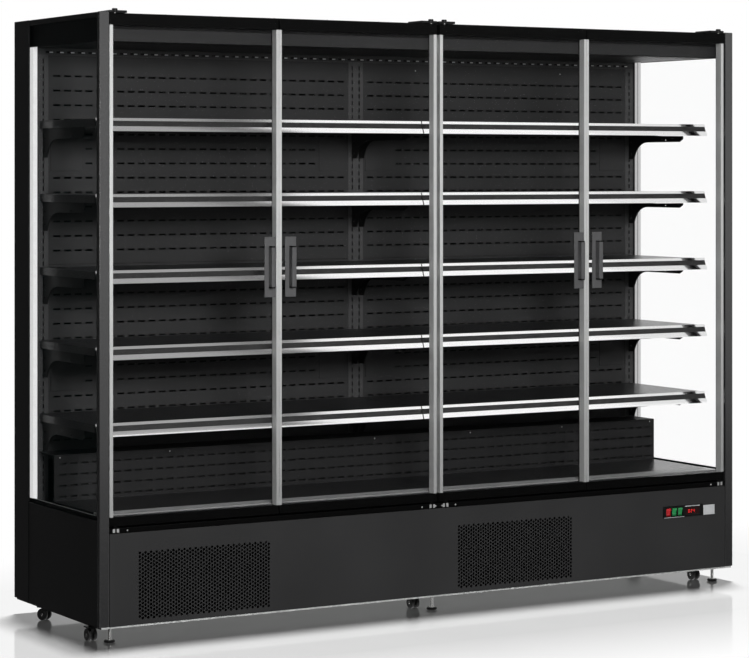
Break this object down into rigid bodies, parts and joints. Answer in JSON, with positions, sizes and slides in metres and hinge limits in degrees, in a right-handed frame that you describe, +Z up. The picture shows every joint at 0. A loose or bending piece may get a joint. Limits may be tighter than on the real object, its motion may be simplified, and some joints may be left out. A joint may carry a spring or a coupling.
{
  "type": "multideck display fridge",
  "caption": "Upright plug-in display refrigerator with glass doors in pairs, cantilever shelves over a cooled deck, glazed end frames and a grilled machine base on castors.",
  "frame": {"origin": "on the floor, under the middle of the overall box", "axes": "+Z up, +X to the right as one faces the doors, the doors face -Y"},
  "size_m": [2.508, 0.718, 2.002],
  "materials": {
    "galvanised": "satin",
    "kick_paint": "satin",
    "post_paint": "satin",
    "end_glass": "polished",
    "black_paint": "satin",
    "duct_paint": "satin",
    "grille_metal": "satin",
    "shelf_paint": "satin",
    "door_glass": "polished",
    "silver_profile": "satin",
    "handle_plastic": "satin",
    "black_plastic": "satin",
    "castor_wheel": "matte",
    "foot_steel": "polished",
    "red_plastic": "gloss",
    "green_plastic": "gloss",
    "coil_aluminium": "satin"
  },
  "bodies": {
    "cabinet": {"base_chassis": "galvanised", "kick_panel": "kick_paint", "end_frame_left": "post_paint", "end_frame_right": "post_paint", "end_glass_left": "end_glass", "end_glass_right": "end_glass", "rear_wall": "black_paint", "roof_canopy": "black_paint", "base_tub": "black_paint", "bottom_hinge_rail": "black_paint", "duct_panel_left": "duct_paint", "duct_panel_right": "duct_paint", "plenum_cover": "duct_paint", "return_grille": "grille_metal", "base_deck": "duct_paint", "upright_left": "black_paint", "upright_centre": "black_paint", "upright_right": "black_paint", "shelf_left_1": "shelf_paint", "shelf_right_1": "shelf_paint", "shelf_left_2": "shelf_paint", "shelf_right_2": "shelf_paint", "shelf_left_3": "shelf_paint", "shelf_right_3": "shelf_paint", "shelf_left_4": "shelf_paint", "shelf_right_4": "shelf_paint", "shelf_left_5": "shelf_paint", "shelf_right_5": "shelf_paint", "control_panel": "black_plastic", "evaporator_coil": "coil_aluminium", "condensing_unit": "black_paint"},
    "door_1": {"door_1_glass": "door_glass", "door_1_frame": "silver_profile", "door_1_handle": "handle_plastic"},
    "door_2": {"door_2_glass": "door_glass", "door_2_frame": "silver_profile", "door_2_handle": "handle_plastic"},
    "door_3": {"door_3_glass": "door_glass", "door_3_frame": "silver_profile", "door_3_handle": "handle_plastic"},
    "door_4": {"door_4_glass": "door_glass", "door_4_frame": "silver_profile", "door_4_handle": "handle_plastic"},
    "castor_fork_front_left": {"castor_fork_front_left": "black_plastic"},
    "castor_wheel_front_left": {"castor_wheel_front_left": "castor_wheel"},
    "castor_fork_front_middle": {"castor_fork_front_middle": "black_plastic"},
    "castor_wheel_front_middle": {"castor_wheel_front_middle": "castor_wheel"},
    "castor_fork_front_right": {"castor_fork_front_right": "black_plastic"},
    "castor_wheel_front_right": {"castor_wheel_front_right": "castor_wheel"},
    "castor_fork_rear_left": {"castor_fork_rear_left": "black_plastic"},
    "castor_wheel_rear_left": {"castor_wheel_rear_left": "castor_wheel"},
    "castor_fork_rear_right": {"castor_fork_rear_right": "black_plastic"},
    "castor_wheel_rear_right": {"castor_wheel_rear_right": "castor_wheel"},
    "levelling_foot_left": {"levelling_foot_left": "foot_steel"},
    "levelling_foot_middle": {"levelling_foot_middle": "foot_steel"},
    "levelling_foot_right": {"levelling_foot_right": "foot_steel"},
    "rocker_switch_1": {"rocker_switch_1": "red_plastic"},
    "rocker_switch_2": {"rocker_switch_2": "green_plastic"},
    "rocker_switch_3": {"rocker_switch_3": "green_plastic"},
    "condenser_fan": {"condenser_fan": "black_plastic"}
  },
  "joints": [
    {"name": "door_1_hinge", "type": "hinge", "parent": "cabinet", "child": "door_1", "pos_m": [-1.197, -0.3185, 1.18], "axis": [0, 0, -1], "range_deg": [0, 90], "stiffness_Nm_per_rad": 2},
    {"name": "door_2_hinge", "type": "hinge", "parent": "cabinet", "child": "door_2", "pos_m": [-0.0265, -0.3185, 1.18], "axis": [0, 0, 1], "range_deg": [0, 85], "stiffness_Nm_per_rad": 2},
    {"name": "door_3_hinge", "type": "hinge", "parent": "cabinet", "child": "door_3", "pos_m": [0.0265, -0.3185, 1.18], "axis": [0, 0, -1], "range_deg": [0, 85], "stiffness_Nm_per_rad": 2},
    {"name": "door_4_hinge", "type": "hinge", "parent": "cabinet", "child": "door_4", "pos_m": [1.197, -0.3185, 1.18], "axis": [0, 0, 1], "range_deg": [0, 90], "stiffness_Nm_per_rad": 2},
    {"name": "castor_swivel_front_left", "type": "hinge", "parent": "cabinet", "child": "castor_fork_front_left", "pos_m": [-1.236, -0.235, 0.045], "axis": [0, 0, 1], "continuous": true},
    {"name": "castor_roll_front_left", "type": "hinge", "parent": "castor_fork_front_left", "child": "castor_wheel_front_left", "pos_m": [-1.236, -0.221, 0.02], "axis": [1, 0, 0], "continuous": true},
    {"name": "castor_swivel_front_middle", "type": "hinge", "parent": "cabinet", "child": "castor_fork_front_middle", "pos_m": [-0.038, -0.235, 0.045], "axis": [0, 0, 1], "continuous": true},
    {"name": "castor_roll_front_middle", "type": "hinge", "parent": "castor_fork_front_middle", "child": "castor_wheel_front_middle", "pos_m": [-0.038, -0.221, 0.02], "axis": [1, 0, 0], "continuous": true},
    {"name": "castor_swivel_front_right", "type": "hinge", "parent": "cabinet", "child": "castor_fork_front_right", "pos_m": [1.16, -0.235, 0.045], "axis": [0, 0, 1], "continuous": true},
    {"name": "castor_roll_front_right", "type": "hinge", "parent": "castor_fork_front_right", "child": "castor_wheel_front_right", "pos_m": [1.16, -0.221, 0.02], "axis": [1, 0, 0], "continuous": true},
    {"name": "castor_swivel_rear_left", "type": "hinge", "parent": "cabinet", "child": "castor_fork_rear_left", "pos_m": [-1.205, 0.19, 0.045], "axis": [0, 0, 1], "continuous": true},
    {"name": "castor_roll_rear_left", "type": "hinge", "parent": "castor_fork_rear_left", "child": "castor_wheel_rear_left", "pos_m": [-1.212, 0.20212, 0.02], "axis": [0.866, 0.5, 0], "continuous": true},
    {"name": "castor_swivel_rear_right", "type": "hinge", "parent": "cabinet", "child": "castor_fork_rear_right", "pos_m": [1.205, 0.19, 0.045], "axis": [0, 0, 1], "continuous": true},
    {"name": "castor_roll_rear_right", "type": "hinge", "parent": "castor_fork_rear_right", "child": "castor_wheel_rear_right", "pos_m": [1.198, 0.20212, 0.02], "axis": [0.866, 0.5, 0], "continuous": true},
    {"name": "foot_adjust_left", "type": "slide", "parent": "cabinet", "child": "levelling_foot_left", "axis": [0, 0, -1], "range_m": [0, 0.02]},
    {"name": "foot_adjust_middle", "type": "slide", "parent": "cabinet", "child": "levelling_foot_middle", "axis": [0, 0, -1], "range_m": [0, 0.02]},
    {"name": "foot_adjust_right", "type": "slide", "parent": "cabinet", "child": "levelling_foot_right", "axis": [0, 0, -1], "range_m": [0, 0.02]},
    {"name": "rocker_1", "type": "hinge", "parent": "cabinet", "child": "rocker_switch_1", "pos_m": [0.964, -0.3245, 0.2705], "axis": [1, 0, 0], "range_deg": [-20, 0]},
    {"name": "rocker_2", "type": "hinge", "parent": "cabinet", "child": "rocker_switch_2", "pos_m": [0.99, -0.3245, 0.2705], "axis": [1, 0, 0], "range_deg": [-20, 0]},
    {"name": "rocker_3", "type": "hinge", "parent": "cabinet", "child": "rocker_switch_3", "pos_m": [1.016, -0.3245, 0.2705], "axis": [1, 0, 0], "range_deg": [-20, 0]},
    {"name": "condenser_fan_spin", "type": "hinge", "parent": "cabinet", "child": "condenser_fan", "pos_m": [-0.881, -0.2045, 0.2053], "axis": [0, 1, 0], "continuous": true}
  ]
}
